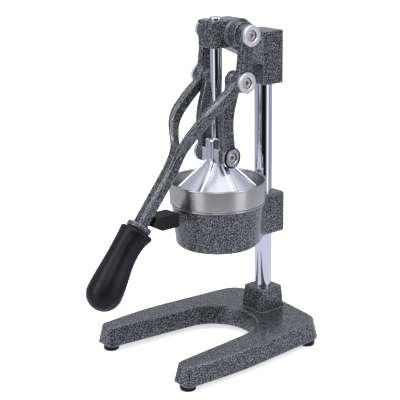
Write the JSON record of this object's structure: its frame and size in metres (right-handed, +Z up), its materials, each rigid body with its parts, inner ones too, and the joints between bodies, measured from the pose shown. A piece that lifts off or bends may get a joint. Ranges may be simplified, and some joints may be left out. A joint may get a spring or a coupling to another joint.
{
  "type": "citrus press juicer",
  "caption": "Hand-lever citrus press: a forked lever drives a press bell down a guide rod onto a strainer cup held over a glass on a U-shaped base.",
  "frame": {"origin": "the point of the table on the press axis, under the juice outlet", "axes": "+Z up along the guide rod and column, +X to the press's right side, -Y to the front, where the lever's grip is"},
  "size_m": [0.1868, 0.299, 0.4075],
  "materials": {
    "hammered_paint": "hammered paint on grey iron",
    "chrome": "polished chrome plate",
    "steel_fasteners": "zinc-plated steel",
    "stainless": "brushed stainless steel",
    "polished_alloy": "polished",
    "bronze": "turned",
    "black_plastic": "satin",
    "black_rubber": "matte"
  },
  "bodies": {
    "frame": {"base_casting": "hammered_paint", "rubber_feet": "black_rubber", "feet_screws": "steel_fasteners", "column_bar": "chrome", "column_bolt": "steel_fasteners", "column_washer": "steel_fasteners", "cup_bracket": "hammered_paint", "bracket_set_screw": "steel_fasteners", "lever_bumper": "black_rubber", "juice_funnel": "stainless", "strainer_cup": "stainless", "head_casting": "hammered_paint", "head_set_screws": "steel_fasteners", "rod_guide_bush": "bronze", "upper_pivot_sleeves": "chrome", "upper_pivot_screws": "steel_fasteners"},
    "lever": {"lever_casting": "hammered_paint", "grip_handle": "black_plastic", "grip_stud": "steel_fasteners", "mid_pivot_sleeves": "chrome", "mid_pivot_screws": "steel_fasteners"},
    "plunger": {"press_cone": "polished_alloy", "guide_rod": "chrome", "rod_stop_cap": "chrome", "lower_pivot_sleeves": "chrome", "lower_pivot_screws": "steel_fasteners"},
    "link_right": {"press_link_right": "hammered_paint"},
    "link_left": {"press_link_left": "hammered_paint"}
  },
  "joints": [
    {"name": "lever_lift", "type": "hinge", "parent": "frame", "child": "lever", "pos_m": [0, 0.0169, 0.3877], "axis": [-1, 0, 0], "range_deg": [0, 110]},
    {"name": "plunger_slide", "type": "slide", "parent": "frame", "child": "plunger", "axis": [0, 0, 1], "range_m": [0, 0.08434]},
    {"name": "link_right_turn", "type": "hinge", "parent": "plunger", "child": "link_right", "pos_m": [0, 0, 0.2443], "axis": [-1, 0, 0], "range_deg": [-26.53, 0.2]},
    {"name": "link_left_turn", "type": "hinge", "parent": "plunger", "child": "link_left", "pos_m": [0, 0, 0.2443], "axis": [-1, 0, 0], "range_deg": [-26.53, 0.2]}
  ],
  "couplings": [
    {"joint": "plunger_slide", "follows": "lever_lift", "m_per_rad": 0.043669},
    {"joint": "link_right_turn", "follows": "lever_lift", "ratio": -0.23941},
    {"joint": "link_left_turn", "follows": "lever_lift", "ratio": -0.23941}
  ]
}
